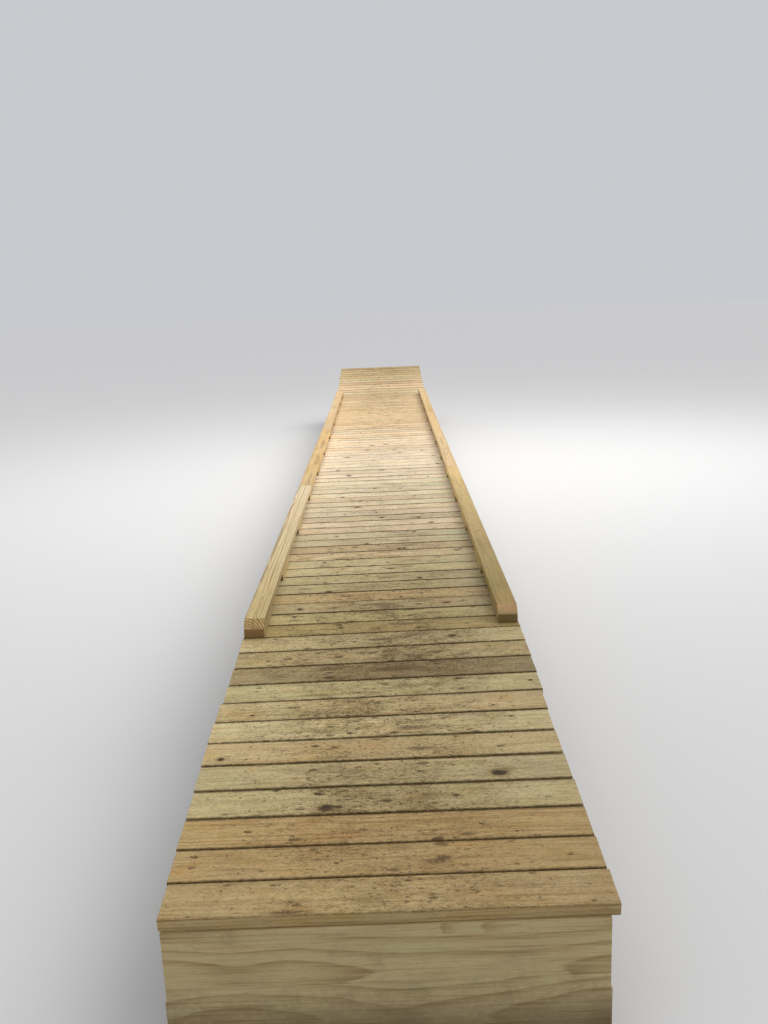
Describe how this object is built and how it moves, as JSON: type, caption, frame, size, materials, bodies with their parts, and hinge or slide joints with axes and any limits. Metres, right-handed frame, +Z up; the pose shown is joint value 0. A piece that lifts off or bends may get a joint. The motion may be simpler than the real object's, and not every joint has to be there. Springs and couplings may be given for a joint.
{
  "type": "wooden footbridge",
  "caption": "Low timber footbridge with a crosswise plank deck, a short ramp at each end and flat curb rails on spacer blocks along both sides of the level deck",
  "frame": {"origin": "middle of the bridge in plan, at the level ground it stands on", "axes": "+Y along the bridge from the near ramp to the far ramp, +X to the right, +Z up"},
  "size_m": [1.2374, 12.6937, 0.8165],
  "materials": {
    "deck_planks": "sawn pressure-treated pine boards, greenish tan, dry and matte",
    "curb_rails": "planed pressure-treated pine, yellowish tan, matte",
    "curb_blocks": "sawn pressure-treated pine offcuts, matte",
    "stringers": "pressure-treated pine framing, matte and slightly soiled",
    "heavy_timbers": "rough-sawn treated timbers, soil-stained near the ground"
  },
  "bodies": {
    "root": {"near_ramp_planks": "deck_planks", "deck_planks_1": "deck_planks", "deck_planks_2": "deck_planks", "deck_planks_3": "deck_planks", "far_ramp_planks": "deck_planks", "near_ramp_stringers": "stringers", "span_1_stringers": "stringers", "span_2_stringers": "stringers", "span_3_stringers": "stringers", "far_ramp_stringers": "stringers", "near_header": "stringers", "far_header": "stringers", "span_1_blocking": "stringers", "span_2_blocking": "stringers", "span_3_blocking": "stringers", "left_curb_rail_1": "curb_rails", "left_curb_rail_2": "curb_rails", "left_curb_rail_3": "curb_rails", "right_curb_rail_1": "curb_rails", "right_curb_rail_2": "curb_rails", "right_curb_rail_3": "curb_rails", "left_curb_blocks_1": "curb_blocks", "left_curb_blocks_2": "curb_blocks", "right_curb_blocks_1": "curb_blocks", "right_curb_blocks_2": "curb_blocks", "pier_1_sleepers": "heavy_timbers", "pier_2_sleepers": "heavy_timbers", "pier_3_sleepers": "heavy_timbers", "pier_4_sleepers": "heavy_timbers", "pier_1_cap": "heavy_timbers", "pier_2_cap": "heavy_timbers", "pier_3_cap": "heavy_timbers", "pier_4_cap": "heavy_timbers", "pier_4_plate": "stringers", "near_abutment_timber": "heavy_timbers", "near_abutment_plate": "stringers", "far_abutment_timber_1": "heavy_timbers", "far_abutment_timber_2": "heavy_timbers", "far_abutment_timber_3": "heavy_timbers", "far_abutment_timber_4": "heavy_timbers"}
  },
  "joints": []
}
